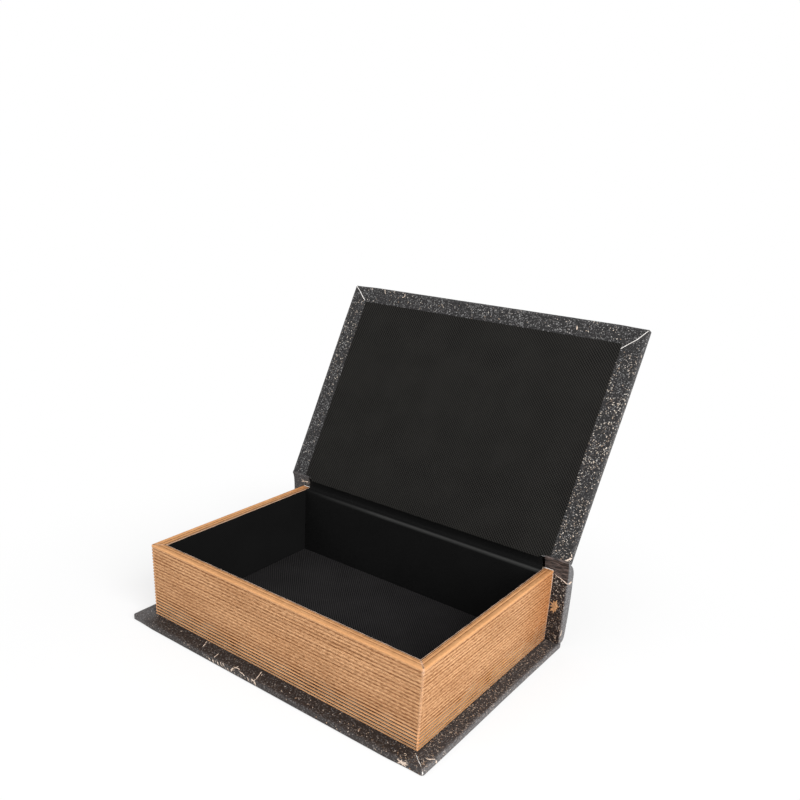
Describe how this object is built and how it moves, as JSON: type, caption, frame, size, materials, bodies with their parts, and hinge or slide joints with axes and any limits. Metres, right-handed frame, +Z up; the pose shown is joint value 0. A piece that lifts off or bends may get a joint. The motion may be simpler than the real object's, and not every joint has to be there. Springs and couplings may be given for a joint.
{
  "type": "book box",
  "caption": "Keepsake box in the form of an old hard-cover book: a cloth-lined tray with grooved page-edge walls, on a leatherette cover whose front board opens as the lid.",
  "frame": {"origin": "middle of the base cover's flat underside", "axes": "+X along the spine, towards the right end as the fore edge is faced; +Y from the fore edge to the spine; +Z up, out of the open tray"},
  "size_m": [0.2198, 0.2184, 0.1887],
  "materials": {
    "board": "matte",
    "leatherette": "satin",
    "page_facing": "matte",
    "woven_lining": "matte",
    "lining": "matte"
  },
  "bodies": {
    "root": {"base_board": "board", "spine_board": "board", "base_leather": "leatherette", "spine_leather": "leatherette", "front_wall": "board", "left_wall": "board", "right_wall": "board", "rear_wall": "board", "front_pages": "page_facing", "left_pages": "page_facing", "right_pages": "page_facing", "floor_lining": "woven_lining", "front_lining": "lining", "left_lining": "lining", "right_lining": "lining", "rear_lining": "lining", "hinge_leather": "leatherette", "hinge_lining": "lining"},
    "lid": {"lid_board": "board", "lid_leather": "leatherette", "lid_lining": "woven_lining"}
  },
  "joints": [
    {"name": "lid_hinge", "type": "hinge", "parent": "root", "child": "lid", "pos_m": [0, 0.0729, 0.0558], "axis": [1, 0, 0], "range_deg": [0, 118], "deforming": ["hinge_leather", "hinge_lining"]}
  ]
}
